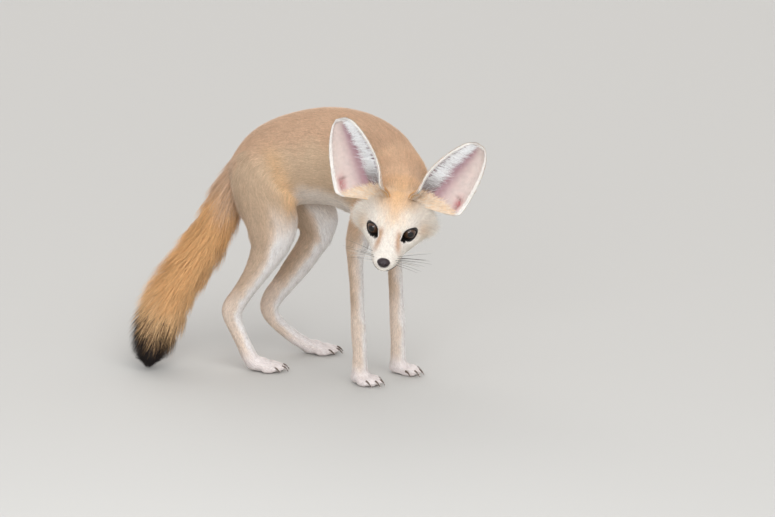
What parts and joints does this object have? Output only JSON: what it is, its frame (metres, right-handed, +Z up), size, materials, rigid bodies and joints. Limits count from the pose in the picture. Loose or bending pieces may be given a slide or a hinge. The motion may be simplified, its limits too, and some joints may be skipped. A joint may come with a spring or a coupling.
{
  "type": "fennec fox",
  "caption": "Life-size still fennec fox standing with arched back, head held low and turned, very large ears and a bushy dark-tipped tail hanging down.",
  "frame": {"origin": "middle of the footprint of the whole fox, on the floor under its paws", "axes": "+X the way the trunk points, from tail to breast; +Y the fox's left side; +Z up"},
  "size_m": [0.3456, 0.1868, 0.27],
  "materials": {
    "face_fur": "short cream fur, pale orange on the forehead",
    "nose_skin": "moist dark pebbled skin",
    "eye": "wet dark brown eye",
    "ear": "thin pink skin with sparse white hair",
    "body_fur": "dense sandy tan fur, pale below",
    "leg_fur": "short pale cream fur",
    "tail_fur": "long orange tan fur, brown-black at the tip"
  },
  "bodies": {
    "root": {"head": "face_fur", "nose": "nose_skin", "eye_left": "eye", "eye_right": "eye", "ear_left": "ear", "ear_right": "ear", "neck": "body_fur", "torso": "body_fur", "leg_front_left": "leg_fur", "leg_front_right": "leg_fur", "leg_hind_left": "leg_fur", "leg_hind_right": "leg_fur", "tail": "tail_fur"}
  },
  "joints": []
}
